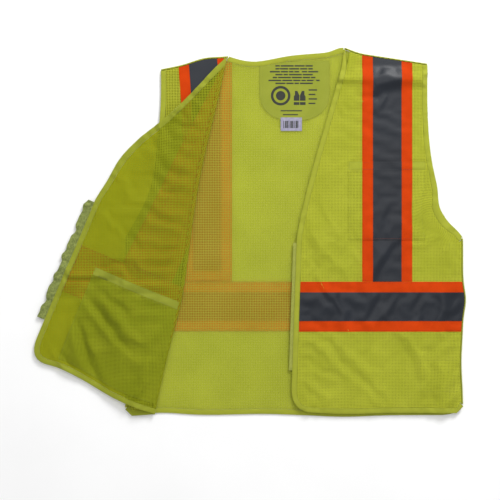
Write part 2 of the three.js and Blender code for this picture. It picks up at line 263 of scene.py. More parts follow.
@dataclass(frozen=True)
class WovenPolyester:
    """Plain woven polyester, as in bindings, hems, labels and orange tape backing: even, matt, fine ribs."""

    name: str
    low: str
    high: str
    thread_pitch: float = 1.6 * MM  # drawn three times as coarse as the real weave, so that it shows
    glow_share: float = 0.15
    roughness: float = 0.7
    sheen: float = 0.2
    shine: float = 0.25
    # colour where a closer tape is sewn on behind: painted shade, as less light comes through there; none if
    # empty
    backed: str = ""
    backed_from: float = 19 * MM
    backed_edge: float = 3 * MM

    def build(self) -> bpy.types.Material:
        """Builds the material.

        Returns:
            A closely woven cloth.
        """
        f = Finish(self.name)
        weave = f.threads(self.thread_pitch)
        patches = f.maths("MULTIPLY_ADD", weave, 0.25, f.cloudy(25 * MM, 4))
        colour = f.shade(patches, self.low, self.high, 0.2, 0.8)
        # painted shade: the colour goes over to the darker one in the middle, away from the edges
        if self.backed:
            edge = f.node("ShaderNodeAttribute", {"attribute_name": "edge", "attribute_type": "GEOMETRY"})
            behind = f.step(edge.outputs["Fac"], self.backed_from, self.backed_edge)
            # inputs 0, 6 and 7 and output 2 are the ones that a Mix node uses for colours
            backing = linear(self.backed)
            mixed = f.node("ShaderNodeMix", {"data_type": "RGBA"}, i0=behind, i6=colour, i7=backing)
            colour = mixed.outputs[2]
        normal = f.bump(weave, 0.12 * MM, 0.6)
        yarn = f.node(
            "ShaderNodeBsdfPrincipled",
            Base_Color=colour,
            Roughness=self.roughness,
            Sheen_Weight=self.sheen,
            Normal=normal,
        )
        yarn.inputs["Specular IOR Level"].default_value = self.shine
        glow = f.node("ShaderNodeBsdfTranslucent", Color=colour)
        cloth = f.node("ShaderNodeMixShader", Fac=self.glow_share, i1=yarn.outputs[0], i2=glow.outputs[0])
        return f.finish(cloth.outputs[0])


@dataclass(frozen=True)
class GlassBeadTape:
    """Retroreflective tape: a coat of tiny glass beads on cloth, dark grey, satin and fine-grained."""

    name: str = "glass_bead_reflective_tape"
    low: str = "#14181f"
    high: str = "#1f242c"
    bead: float = 2.2 * MM  # beads are under 0.1 mm; their clusters are drawn this coarse, so that they show

    def build(self) -> bpy.types.Material:
        """Builds the material.

        Returns:
            A satin grey tape.
        """
        f = Finish(self.name)
        grain = f.cloudy(self.bead, 3)
        # large soft patches lighter and darker: painted reflection, for shine that changes with the light;
        # the beads' fine grain is mixed in
        grain_and_painted_sheen = f.maths("MULTIPLY_ADD", f.cloudy(70 * MM, 3), 0.7, f.maths("MULTIPLY", grain, 0.3))
        colour = f.shade(grain_and_painted_sheen, self.low, self.high, 0.25, 0.75)
        weave = f.threads(1.8 * MM)
        normal = f.bump(f.maths("ADD", grain, f.maths("MULTIPLY", weave, 0.3)), 0.08 * MM, 0.5)
        tape = f.node("ShaderNodeBsdfPrincipled", Base_Color=colour, Roughness=0.4, Normal=normal)
        tape.inputs["Specular IOR Level"].default_value = 0.3
        return f.finish(tape.outputs[0])


@dataclass(frozen=True)
class HookAndLoop:
    """Nylon hook-and-loop tape: a nap of fine loops that scatters light, with a paler sewn back."""

    name: str
    low: str
    high: str

    def build(self) -> bpy.types.Material:
        """Builds the material.

        Returns:
            A fuzzy tape.
        """
        f = Finish(self.name)
        nap = f.node("ShaderNodeTexVoronoi", Vector=f.flat(1 / (1.8 * MM)), Scale=1.0)
        mixed = f.maths("MULTIPLY_ADD", nap.outputs[0], 0.6, f.maths("MULTIPLY", f.cloudy(9 * MM, 4), 0.6))
        colour = f.shade(mixed, self.low, self.high, 0.25, 0.85)
        normal = f.bump(nap.outputs[0], 0.5 * MM, 0.8)
        tape = f.node(
            "ShaderNodeBsdfPrincipled", Base_Color=colour, Roughness=0.85, Sheen_Weight=0.2, Normal=normal
        )
        return f.finish(tape.outputs[0])


@dataclass(frozen=True)
class PlainPrint:
    """Flat ink or paper: matt, with a little unevenness where the cloth shows through."""

    name: str
    low: str
    high: str
    roughness: float = 0.6

    def build(self) -> bpy.types.Material:
        """Builds the material.

        Returns:
            A matt print or paper.
        """
        f = Finish(self.name)
        colour = f.shade(f.cloudy(5 * MM, 4), self.low, self.high, 0.35, 0.65)
        normal = f.bump(f.cloudy(2 * MM), 0.05 * MM, 0.4)
        ink = f.node("ShaderNodeBsdfPrincipled", Base_Color=colour, Roughness=self.roughness, Normal=normal)
        return f.finish(ink.outputs[0])


class Stuff(Enum):
    """Every finish on the vest."""

    OUTSIDE = PolyesterMesh("polyester_mesh_outside", "#d4d944", "#dee24e", "#f0f0b0", 2.6 * MM, 0.55)
    BACK_INSIDE = PolyesterMesh("polyester_mesh_back", "#c6cd4c", "#d0d656", "#f4f4cc", 3.0 * MM, 0.18, 0.6)
    # the right front's two sides have the same holes, so that they line up; its turned-back inside is a
    # darker copy of the mesh, painted shade
    FLAP_INSIDE_PAINTED_SHADE = PolyesterMesh(
        "polyester_mesh_turned_back", "#a3ad18", "#afb722", "#ece650", 2.8 * MM, 0.2, 0.4
    )
    FLAP_OUTSIDE = PolyesterMesh(
        "polyester_mesh_right_front", "#ccd13c", "#d6da46", "#ece650", 2.8 * MM, 0.2, 0.4
    )
    # the inner pocket, on the turned-back front, is a darker copy of the mesh: painted shade
    POCKET = PolyesterMesh(
        "polyester_mesh_inner_pocket", "#a6b01a", "#b2ba24", "#e4e050", 2.4 * MM, 0.45, 0.45
    )
    BINDING = WovenPolyester("woven_binding", "#9ca226", "#abb130")
    # the turned-back front's binding is a darker copy of the binding: painted shade
    FLAP_BINDING = WovenPolyester("woven_binding_turned_back", "#8f961e", "#9da428")
    HEM = WovenPolyester("woven_hem", "#878f1e", "#999f2c")
    ORANGE = WovenPolyester("woven_orange_backing", "#d84406", "#ec500c", 1.8 * MM, 0.35, 0.7, 0.0, 0.1)
    # painted light: the tape's inside is lighter along its edges, for light coming through it, and darker in
    # the middle, where the silver tape is sewn behind it
    ORANGE_INSIDE = WovenPolyester(
        "woven_orange_inside", "#f4640c", "#ff781a", 1.8 * MM, 0.04, 0.7, 0.0, 0.1, "#c8560e"
    )
    SILVER = GlassBeadTape()
    HOOK = HookAndLoop("hook_tape", "#82892c", "#9ba042")
    LOOP = HookAndLoop("loop_tape", "#46521a", "#8a9448")
    LABEL = WovenPolyester("woven_label_lining", "#8f9828", "#9ba232")
    STICKER = PlainPrint("sticker_paper", "#86829a", "#9794a8", 0.45)
    INK = PlainPrint("printing_ink", "#101406", "#1c200c")
    THREAD = WovenPolyester("sewing_thread", "#8f9630", "#a5ab44", 0.8 * MM)
    ORANGE_THREAD = WovenPolyester("orange_sewing_thread", "#8c2c04", "#a83a0a", 0.8 * MM)
    GREY_THREAD = WovenPolyester("grey_sewing_thread", "#3a4046", "#50565e", 0.8 * MM)

    def material(self) -> bpy.types.Material:
        """The finish's material, built once."""
        found = bpy.data.materials.get(self.value.name)
        return found or self.value.build()


# ---------------------------------------------------------------- outlines


def ordered_loop(edges: Iterable[tuple[int, int]]) -> list[int]:
    """Puts the directed boundary edges of a cap in order.

    Args:
        edges: directed edges, each from one corner to the next.

    Returns:
        The corners in order.
    """
    following = dict(edges)
    start = next(iter(following))
    loop = [start]
    while following[loop[-1]] != start:
        loop.append(following[loop[-1]])
    return loop


def outline_of(node: str) -> Loop:
    """The outline of a flat CAD node, seen from above.

    Args:
        node: the node's name.

    Returns:
        Its corners, counter-clockwise, as an (n, 2) array in metres.
    """
    mesh = frame["nodes"][node].data
    corners: dict[tuple[float, float], int] = {}
    directed: set[tuple[int, int]] = set()
    for face in mesh.polygons:
        if face.normal.z < 0.9:
            continue
        ids = []
        for v in face.vertices:
            co = mesh.vertices[v].co
            ids.append(corners.setdefault((round(co.x, 6), round(co.y, 6)), len(corners)))
        directed.update(zip(ids, ids[1:] + ids[:1]))
    border = [(a, b) for a, b in directed if (b, a) not in directed]
    points = list(corners)
    return np.array([points[i] for i in ordered_loop(border)])


def resampled(loop: Loop, step: float) -> Loop:
    """The same closed outline with points no further apart than step."""
    points = []
    for a, b in zip(loop, np.roll(loop, -1, axis=0)):
        parts = max(1, math.ceil(np.linalg.norm(b - a) / step))
        points += [a + (b - a) * i / parts for i in range(parts)]
    return np.array(points)


def distance_to(xy: np.ndarray, path: np.ndarray, closed: bool = False) -> tuple[np.ndarray, np.ndarray]:
    """How far points are from a path, and how far along it.

    Args:
        xy: the points, (n, 2).
        path: the path's corners, (m, 2).
        closed: whether the path runs back to its start.

    Returns:
        The distance of each point, and its share of the path's length at the nearest place.
    """
    ends = np.roll(path, -1, axis=0) if closed else path[1:]
    starts = path if closed else path[:-1]
    lengths = np.linalg.norm(ends - starts, axis=1)
    before = np.concatenate([[0.0], np.cumsum(lengths)[:-1]])
    best = np.full(len(xy), np.inf)
    share = np.zeros(len(xy))
    for a, b, length, run in zip(starts, ends, lengths, before):
        if length < 1e-9:
            continue
        t = np.clip(((xy - a) @ (b - a)) / length**2, 0, 1)
        d = np.linalg.norm(xy - (a + t[:, None] * (b - a)), axis=1)
        nearer = d < best
        best[nearer] = d[nearer]
        share[nearer] = ((run + t * length) / lengths.sum())[nearer]
    return best, share


def inside(xy: np.ndarray, loop: Loop) -> np.ndarray:
    """Which points lie inside a closed outline."""
    within = np.zeros(len(xy), bool)
    for (x0, y0), (x1, y1) in zip(loop, np.roll(loop, -1, axis=0)):
        crosses = (y0 > xy[:, 1]) != (y1 > xy[:, 1])
        with np.errstate(divide="ignore", invalid="ignore"):
            at = (x1 - x0) * (xy[:, 1] - y0) / (y1 - y0) + x0
        within ^= crosses & (xy[:, 0] < at)
    return within


def inset(loop: Loop, by: float) -> Loop:
    """A closed counter-clockwise outline moved inwards."""
    before = loop - np.roll(loop, 1, axis=0)
    after = np.roll(loop, -1, axis=0) - loop
    before /= np.linalg.norm(before, axis=1)[:, None]
    after /= np.linalg.norm(after, axis=1)[:, None]
    normal = np.stack([-(before + after)[:, 1], (before + after)[:, 0]], axis=1)
    size = np.maximum(np.linalg.norm(normal, axis=1), 1e-6)[:, None]
    return loop + normal / size * by * np.minimum(2 / size, 1.6)


# ---------------------------------------------------------------- folds


@dataclass(frozen=True)
class FoldLine:
    """A line that a front turns about, from its joint in the record."""

    joint: str

    @property
    def row(self) -> dict:
        """The joint's own row."""
        return next(j for j in frame["joints"] if j["name"] == self.joint)

    @property
    def point(self) -> np.ndarray:
        """A point on the fold, seen from above."""
        return np.array(self.row["pos_m"][:2])

    @property
    def height(self) -> float:
        """The fold's height over the floor."""
        return self.row["pos_m"][2]

    @property
    def along(self) -> np.ndarray:
        """Direction of the fold towards the neck."""
        return np.array(self.row["axis"][:2])

    @property
    def across(self) -> np.ndarray:
        """Direction across the fold, towards the wearer's left."""
        return np.array([self.along[1], -self.along[0]])

    def sides(self, xy: np.ndarray) -> tuple[np.ndarray, np.ndarray]:
        """How far points lie across the fold, positive towards the wearer's left, and how far along it."""
        return (xy - self.point) @ self.across, (xy - self.point) @ self.along

    def place(self, across: np.ndarray, along: np.ndarray) -> np.ndarray:
        """Points from their distances across and along the fold."""
        return self.point + across[:, None] * self.across + along[:, None] * self.along

    def mirrored(self, xy: np.ndarray) -> np.ndarray:
        """Points turned over about the fold."""
        across, along = self.sides(xy)
        return self.place(-across, along)


LEFT_FOLD = FoldLine("left_front_swing")
RIGHT_FOLD = FoldLine("right_front_swing")


def joined_at(fold: FoldLine, a: Loop, b: Loop) -> Loop:
    """One outline from two that meet along a fold.

    Args:
        fold: the fold line that they share.
        a: one outline, counter-clockwise.
        b: the outline on the other side, counter-clockwise.

    Returns:
        The outline of the two together.
    """
    runs = []
    for loop in (a, b):
        on_fold = np.abs(fold.sides(loop)[0]) < 0.4 * MM
        first = next(i for i in range(len(loop)) if on_fold[i - 1] and not on_fold[i])
        turned = np.roll(loop, -first, axis=0)
        kept = np.roll(on_fold, -first)
        last = np.flatnonzero(~kept)[-1]
        ends = np.array([turned[-1], turned[last + 1]])
        runs.append(np.concatenate([ends[:1], turned[: last + 1], ends[1:]]))
    for run in runs:
        for i in (0, -1):
            _, along = fold.sides(run[i : i + 1] if i == 0 else run[-1:])
            run[i] = fold.place(np.zeros(1), along)[0]
    whole = np.concatenate(runs)
    keep = np.linalg.norm(whole - np.roll(whole, 1, axis=0), axis=1) > 0.05 * MM
    return whole[keep]


def filled(outline: Loop, spacing: float) -> tuple[np.ndarray, np.ndarray]:
    """Fills an outline with even triangles.

    Args:
        outline: the outline, counter-clockwise.
        spacing: distance between points.

    Returns:
        The points, (n, 2), and the triangles, (m, 3), counter-clockwise.
    """
    border = resampled(outline, spacing)
    low, high = border.min(0), border.max(0)
    # pieces of one spacing share one grid, so the layers of a seam bend alike
    pitch = spacing * 0.866  # rows of equal-sided triangles
    rows = range(math.floor(low[1] / pitch), math.ceil(high[1] / pitch))
    first = math.floor(low[0] / spacing) * spacing
    grid = [
        (x, row * pitch)
        for row in rows
        for x in np.arange(first + (row % 2) * spacing / 2, high[0], spacing)
    ]
    middle = np.array(grid) if grid else np.zeros((0, 2))
    middle = middle[inside(middle, border)]
    middle = middle[distance_to(middle, border, True)[0] > spacing * 0.45]
    points = [Vector(p) for p in np.concatenate([border, middle])]
    found, _, faces, *_ = delaunay_2d_cdt(points, [], [list(range(len(border)))], 1, 1e-7)
    return np.array([tuple(v) for v in found]), np.array([tuple(f) for f in faces if len(f) == 3])


# ---------------------------------------------------------------- how the cloth lies


def smooth(value: np.ndarray, start: float, end: float) -> np.ndarray:
    """A soft step from 0 at start to 1 at end."""
    t = np.clip((value - start) / (end - start), 0, 1)
    return t * t * (3 - 2 * t)


def waves(xy: np.ndarray, size: float, seed: int, parts: int = 14) -> np.ndarray:
    """Gentle unevenness from -1 to 1, made of waves of about this length.

    Args:
        xy: where, in metres.
        size: the usual wavelength in metres.
        seed: which unevenness.
        parts: how many waves are added.

    Returns:
        The height of each point.
    """
    random = np.random.default_rng(seed)
    total = np.zeros(len(xy))
    for _ in range(parts):
        angle = random.uniform(0, math.tau)
        phase = random.uniform(0, math.tau)
        scale = random.uniform(0.6, 1.6)
        direction = np.array([math.cos(angle), math.sin(angle)]) * math.tau / (size * scale)
        total += np.sin(xy @ direction + phase)
    return total / math.sqrt(parts * 2)


@dataclass(frozen=True)
class Stray:
    """A place where the laid-out cloth has strayed sideways from its cut, in millimetres."""

    x: float
    y: float
    dx: float
    dy: float
    reach: float


STRAYS = (
    Stray(-290, 295, -7, 8, 55),  # the turned-back front's neck edge
    Stray(-318, 262, -4, 3, 30),
    Stray(-425, -110, 5, 8, 42),  # its lower corner
    Stray(-380, -140, 2, 6, 45),
    Stray(256, 174, -13, -7, 27),  # the left armhole
    Stray(268, 145, -8, -7, 22),
    Stray(88, 456, -3, 7, 20),  # the left end of the neck
    Stray(-160, 440, -1, 5, 30),  # the right shoulder
    Stray(-235, -196, 1, 4, 45),  # the hem
    Stray(-60, -196, 0, 2, 60),
    Stray(90, -196, 0, -3, 60),
    Stray(303, 12, 5, 0, 26),  # the left side, out at the tape and in above the label
    Stray(303, -100, -3, 0, 45),
)


def strayed(xy: np.ndarray) -> np.ndarray:
    """Points seen from above, moved with the cloth where it has strayed from its cut."""
    moved = xy.copy()
    for stray in STRAYS:
        away = np.linalg.norm(xy - np.array((stray.x, stray.y)) * MM, axis=1) / (stray.reach * MM)
        moved += np.exp(-(away**2))[:, None] * np.array((stray.dx, stray.dy)) * MM
    return moved


@dataclass(frozen=True)
class Crease:
    """A ridge or hollow in the cloth along a line, in millimetres."""

    path: tuple[tuple[float, float], ...]
    width: float
    height: float
    sharp: float = 1.3

    def lift(self, xy: np.ndarray) -> np.ndarray:
        """How much the crease lifts each point, in metres."""
        distance, share = distance_to(xy, np.array(self.path) * MM)
        ends = np.sin(np.clip(share, 0.02, 0.98) * math.pi) ** 0.6
        return self.height * MM * ends * np.exp(-((distance / (self.width * MM)) ** self.sharp))


@dataclass(frozen=True)
class Lie:
    """How one part of the vest lies: its creases, its unevenness and how far it may rise and sink."""

    creases: tuple[Crease, ...]
    seed: int
    broad: float
    fine: float
    low: float
    high: float
    centre: float = 0.0

    def lift(self, xy: np.ndarray) -> np.ndarray:
        """How much the cloth stands over its CAD place at each point.

        Args:
            xy: points seen from above, in metres.

        Returns:
            The lift in metres, kept softly between low and high.
        """
        total = waves(xy, 110 * MM, self.seed) * self.broad * MM
        total += waves(xy, 34 * MM, self.seed + 1) * self.fine * MM
        for crease in self.creases:
            total = total + crease.lift(xy)
        middle, half = (self.low + self.high) / 2 * MM, (self.high - self.low) / 2 * MM
        return middle + half * np.tanh((total + (self.centre - (self.low + self.high) / 2) * MM) / half)


FLAP_LIE = Lie(
    creases=(
        Crease(((-369, 19), (-340, -21), (-315, -56), (-285, -87)), 7, -3.6),
        Crease(((-380, 12), (-346, -32), (-318, -68)), 8, 3.4),
        Crease(((-356, 26), (-322, -14), (-292, -52), (-262, -70)), 8, 2.6),
        Crease(((-390, -15), (-378, -60), (-365, -105), (-344, -140)), 7, -3.4),
        Crease(((-378, -22), (-364, -66), (-348, -104)), 8, 2.8),
        Crease(((-402, -22), (-392, -70), (-380, -110)), 8, 2.4),
        Crease(((-422, -78), (-392, -117)), 6, -2.8),
        Crease(((-436, -72), (-410, -112), (-380, -128)), 6, 2.0),
        Crease(((-320, 12), (-294, -24)), 7, -2.6),
        Crease(((-208, 345), (-275, 290), (-335, 205)), 12, -2.2),
        Crease(((-250, 325), (-310, 235), (-360, 150)), 13, 1.8),
        Crease(((-352, 190), (-372, 140), (-400, 75)), 10, -1.4),
        Crease(((-205, 300), (-232, 190), (-250, 120)), 16, 1.2),
        Crease(((-250, -30), (-262, -90), (-270, -150)), 14, 1.2),
    ),
    seed=11,
    broad=0.55,
    fine=0.22,
    low=0.0,
    high=8.0,
    centre=1.6,
)
LEFT_LIE = Lie(
    creases=(
        Crease(((70, -87), (104, -117), (132, -140), (163, -171)), 9, -2.0),
        Crease(((84, -75), (118, -104), (150, -132)), 9, 1.3),
        Crease(((175, -51), (208, -96), (222, -140)), 9, -1.6),
        Crease(((190, -48), (222, -90), (238, -130)), 9, 1.2),
        Crease(((43, 217), (80, 238), (118, 262)), 10, -1.6),
        Crease(((274, 164), (283, 119), (300, 65)), 9, -1.6),
        Crease(((16, -153), (50, -167)), 8, -1.3),
        Crease(((30, 120), (62, 92), (92, 60)), 12, 1.0),
        Crease(((20, 60), (60, 10), (90, -20)), 14, -0.9),
    ),
    seed=23,
    broad=0.6,
    fine=0.2,
    low=-3.2,
    high=3.5,
    centre=-0.4,
)
BACK_LIE = Lie(
    creases=(
        Crease(((-100, 380), (-60, 250), (-40, 120)), 22, 0.5),
        Crease(((40, 330), (0, 200), (-10, 100)), 22, 0.45),
        Crease(((-150, 20), (-60, 40), (20, 30)), 16, 0.4),
        Crease(((-170, -70), (-90, -90), (0, -80)), 18, 0.4),
    ),
    seed=37,
    broad=0.22,
    fine=0.12,
    low=0.0,
    high=1.3,
    centre=0.45,
)
SHOULDER_LIE = Lie(creases=(), seed=41, broad=0.4, fine=0.15, low=-1.4, high=0.0, centre=-0.6)


@dataclass
class Drape:
    """Cloth let fall by simulation: one coarse sheet, whose folds all the layers of a front then follow.

    Heights are lifts over the CAD place of the cloth.
    """

    name: str
    outline: Loop
    start: Height
    held: Height
    under: Height
    growth: float = 0.02  # the sheet is this much too large for its place, so it buckles
    spacing: float = 9 * MM
    frames: int = 40
    tree: BVHTree | None = None

    def sheet(self, name: str, xy: np.ndarray, faces: np.ndarray, z: np.ndarray) -> bpy.types.Object:
        """Makes a plain mesh object from points, triangles and heights."""
        mesh = bpy.data.meshes.new(name)
        mesh.from_pydata(np.column_stack([xy, z]).tolist(), [], [tuple(map(int, f)) for f in faces])
        made = bpy.data.objects.new(name, mesh)
        bpy.context.collection.objects.link(made)
        return made

    def settle(self) -> None:
        """Lets the sheet fall on what is under it, and keeps where it came to rest."""
        xy, faces = filled(inset(resampled(self.outline, self.spacing), -9 * MM), self.spacing)
        cloth = self.sheet(self.name, xy, faces, self.start(xy) + 0.5 * MM)
        low, high = xy.min(0) - 40 * MM, xy.max(0) + 40 * MM
        box = np.array([low, (high[0], low[1]), high, (low[0], high[1])])
        ground_xy, ground_faces = filled(box, 12 * MM)
        ground = self.sheet(f"{self.name}_ground", ground_xy, ground_faces, self.under(ground_xy))
        ground.modifiers.new("hit", "COLLISION")
        ground.collision.thickness_outer = 0.001
        ground.collision.cloth_friction = 20
        held = self.held(xy)
        group = cloth.vertex_groups.new(name="held")
        for i in np.flatnonzero(held > 0.01):
            group.add([int(i)], float(held[i]), "REPLACE")
        fall = cloth.modifiers.new("fall", "CLOTH")
        how = fall.settings
        how.quality = 8
        how.mass = 0.05
        how.tension_stiffness = 20
        how.compression_stiffness = 20
        how.shear_stiffness = 8
        how.bending_stiffness = 0.3
        how.air_damping = 2
        how.shrink_min = -self.growth
        how.vertex_group_mass = "held"
        fall.collision_settings.distance_min = 0.001
        fall.point_cache.frame_start = 1
        fall.point_cache.frame_end = self.frames
        scene = bpy.context.scene
        for frame_number in range(1, self.frames + 1):
            scene.frame_set(frame_number)
        rested = cloth.evaluated_get(bpy.context.evaluated_depsgraph_get()).data
        points = np.empty(len(rested.vertices) * 3, np.float32)
        rested.vertices.foreach_get("co", points)
        points = points.reshape(-1, 3)
        moved = np.column_stack([xy, points[:, 2]])
        self.tree = BVHTree.FromPolygons(moved.tolist(), [tuple(map(int, f)) for f in faces])
        lowest, highest = points[:, 2].min() / MM, points[:, 2].max() / MM
        LOG.info("%s settled: lift %.1f to %.1f mm", self.name, lowest, highest)
        for made in (cloth, ground):
            bpy.data.objects.remove(made)
        scene.frame_set(1)

    def lift(self, xy: np.ndarray) -> np.ndarray:
        """How high the cloth lies at each point, from where it came to rest.

        Args:
            xy: points seen from above.

        Returns:
            Their lift in metres.
        """
        if self.tree is None:
            return self.start(xy)
        down = Vector((0, 0, -1))
        heights = []
        for x, y in xy:
            hit = self.tree.ray_cast(Vector((x, y, 1.0)), down)[0]
            if hit is None:
                hit = self.tree.find_nearest(Vector((x, y, 0.0)))[0]
            heights.append(hit.z)
        return np.array(heights)


# ---------------------------------------------------------------- making pieces


def new_object(name: str, mesh: bpy.types.Mesh, stuff: Stuff, cut: np.ndarray) -> bpy.types.Object:
    """Turns a mesh into a piece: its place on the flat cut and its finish.

    Args:
        name: the piece's name.
        mesh: its mesh.
        stuff: its finish.
        cut: where each point is on the flat cut, which the finish's pattern follows.

    Returns:
        The new object.
    """
    flat = mesh.attributes.new("cut", "FLOAT_VECTOR", "POINT")
    flat.data.foreach_set("vector", cut.astype(np.float32).ravel())
    mesh.materials.append(stuff.material())
    made = bpy.data.objects.new(name, mesh)
    bpy.context.collection.objects.link(made)
    return made


@dataclass
class Piece:
    """One flat piece of cloth: its cut, its two heights and how it is laid out and rides."""

    name: str
    nodes: tuple[str, ...]
    stuff: Stuff
    slot: str
    body: str
    cut: Loop
    low: float
    high: float
    spacing: float = 5 * MM
    soft_edge: float = 1.2 * MM
    edge_share: float = 0.35
    rim_of: Loop | None = None
    under_stuff: Stuff | None = None
    lie: Height | None = None
    spread: Callable[[np.ndarray, np.ndarray], np.ndarray] | None = None
    ripple: float = 0.0
    ripple_size: float = 9 * MM
    made: bpy.types.Object = field(init=False)

    def build(self) -> bpy.types.Object:
        """Makes the piece as a thin closed sheet with rounded edges.

        Returns:
            The new object, dressed and with its CAD nodes replaced.
        """
        xy, faces = filled(self.cut, self.spacing)
        count = len(xy)
        edge, _ = distance_to(xy, self.cut if self.rim_of is None else self.rim_of, True)
        full = np.sqrt(np.clip(1 - (1 - np.clip(edge / self.soft_edge, 0, 1)) ** 2, 0, 1))
        half = (self.high - self.low) / 2 * (self.edge_share + (1 - self.edge_share) * full)
        middle = np.full(count, (self.high + self.low) / 2)
        if self.ripple:
            middle = middle + waves(xy, self.ripple_size, 5) * self.ripple
        sides = []
        for sign in (1, -1):
            z = middle + sign * half
            sides.append(self.spread(xy, z) if self.spread else np.column_stack([xy, z]))
        points = np.concatenate(sides)
        points[:, :2] = strayed(points[:, :2])
        if self.lie is not None:
            lift = self.lie(points[:count, :2])
            points[:, 2] += np.concatenate([lift, lift])
        rim = []
        directed = {(int(p), int(q)) for f in faces for p, q in zip(f, np.roll(f, -1))}
        for p, q in directed:
            if (q, p) not in directed:
                rim.append((p, p + count, q + count, q))
        under = [(int(a) + count, int(c) + count, int(b) + count) for a, b, c in faces]
        mesh = bpy.data.meshes.new(self.name)
        mesh.from_pydata(points.tolist(), [], [tuple(map(int, f)) for f in faces] + under + rim)
        cut = np.column_stack([np.tile(xy, (2, 1)), np.zeros(2 * count)])
        self.made = new_object(self.name, mesh, self.stuff, cut)
        from_edge = mesh.attributes.new("edge", "FLOAT", "POINT")
        from_edge.data.foreach_set("value", np.tile(edge, 2).astype(np.float32))
        mesh.shade_smooth()
        mesh.set_sharp_from_angle(angle=math.radians(60))
        if self.under_stuff is not None and self.under_stuff is not self.stuff:
            mesh.materials.append(self.under_stuff.material())
            for face in mesh.polygons[len(faces) : 2 * len(faces)]:
                face.material_index = 1
        mesh.validate()
        if self.nodes:
            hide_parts(*self.nodes)
        LOG.info("%s: %d points", self.name, 2 * count)
        return self.made

    def ride(self) -> None:
        """Lets the piece move with its body."""
        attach(self.made, self.body)

    def flatten(self, joint: str) -> None:
        """Lets the piece ride, and gives it its own copy of its mesh."""
        self.ride()
        pressed(self.made)


def pressed(made: bpy.types.Object) -> None:
    """Gives a piece its own copy of its mesh."""
    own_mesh(made)


def part(
    node: str, stuff: Stuff, slot: str, body: str, lie: Height | None = None, **more: object
) -> Piece:
    """A piece that follows the outline and height of one CAD node.

    Args:
        node: the CAD node.
        stuff: the finish.
        slot: the record's material slot; not used.
        body: the CAD body that it rides on.
        lie: how the cloth lies over its CAD place.
        **more: other fields of Piece.

    Returns:
        The piece, not built yet.
    """
    low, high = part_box(node)
    return Piece(node, (node,), stuff, slot, body, outline_of(node), low.z, high.z, lie=lie, **more)


SUNK = 0.15 * MM  # how far stitches pull down into a binding
BINDING_SHAPE = {"spacing": 2.6 * MM, "soft_edge": 3.6 * MM, "ripple": 0.16 * MM}
HEM_SHAPE = {"spacing": 3 * MM, "soft_edge": 3 * MM, "ripple": 0.12 * MM}
SEAM_SHAPE = {"spacing": 1.6 * MM, "soft_edge": 1.5 * MM, "ripple": 0.2 * MM}


@dataclass
class Stitching:
    """Rows of lockstitch: short proud stitches with a gap between them."""

    name: str
    stuff: Stuff
    slot: str
    body: str
    rows: list[tuple[Loop, bool]]
    top: Height
    length: float = 2.6 * MM
    gap: float = 1.1 * MM
    # real thread is 0.3 mm thick; it is drawn twice as wide, so that it shows
    width: float = 0.6 * MM
    proud: float = 0.25 * MM

    def centres(self) -> tuple[np.ndarray, np.ndarray]:
        """The middle and direction of every stitch, seen from above."""
        middles, ways = [], []
        for row, closed in self.rows:
            path = np.concatenate([row, row[:1]]) if closed else row
            legs = np.diff(path, axis=0)
            lengths = np.linalg.norm(legs, axis=1)
            runs = np.concatenate([[0.0], np.cumsum(lengths)])
            for at in np.arange(self.length, runs[-1] - self.length / 2, self.length + self.gap):
                leg = min(np.searchsorted(runs, at, side="right") - 1, len(legs) - 1)
                way = legs[leg] / max(lengths[leg], 1e-9)
                middles.append(path[leg] + way * (at - runs[leg]))
                ways.append(way)
        return np.array(middles), np.array(ways)

    def build(self) -> bpy.types.Object:
        """Makes all the stitches as one mesh.

        Returns:
            The new object.
        """
        middles, ways = self.centres()
        middles = strayed(middles)
        sides = np.column_stack([-ways[:, 1], ways[:, 0]])
        half = ways * self.length / 2
        broad = sides * self.width / 2
        ring = [middles - half, middles - broad, middles + half, middles + broad]
        base = self.top(middles)
        points = [np.column_stack([corner, base - 0.1 * MM]) for corner in ring]
        points.append(np.column_stack([middles - half * 0.5, base + self.proud]))
        points.append(np.column_stack([middles + half * 0.5, base + self.proud]))
        points.append(np.column_stack([middles, base - 0.3 * MM]))
        count = len(middles)
        one = [(0, 1, 4), (1, 2, 5), (1, 5, 4), (2, 3, 5), (3, 4, 5), (3, 0, 4)]
        one += [(1, 0, 6), (2, 1, 6), (3, 2, 6), (0, 3, 6)]
        faces = [tuple(i + corner * count for corner in face) for i in range(count) for face in one]
        mesh = bpy.data.meshes.new(self.name)
        everything = np.concatenate(points)
        mesh.from_pydata(everything.tolist(), [], faces)
        mesh.shade_smooth()
        LOG.info("%s: %d stitches", self.name, count)
        return new_object(self.name, mesh, self.stuff, everything)


def sewn(name: str, stuff: Stuff, slot: str, rows: list[tuple[Loop, bool]], top: Height) -> None:
    """Adds stitching that stays with the fixed body.

    Args:
        name: what is sewn.
        stuff: the thread.
        slot: the record's material slot; not used.
        rows: lines of stitches, each with whether it is closed.
        top: the height of the surface that is sewn.
    """
    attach(Stitching(f"{name}_stitching", stuff, slot, BODY, rows, top).build(), BODY)


# ---------------------------------------------------------------- the back


BACK_OUTLINE = outline_of("back_panel")


def back_lift(xy: np.ndarray) -> np.ndarray:
    """How the back lies: nearly flat on the floor."""
    return BACK_LIE.lift(xy)


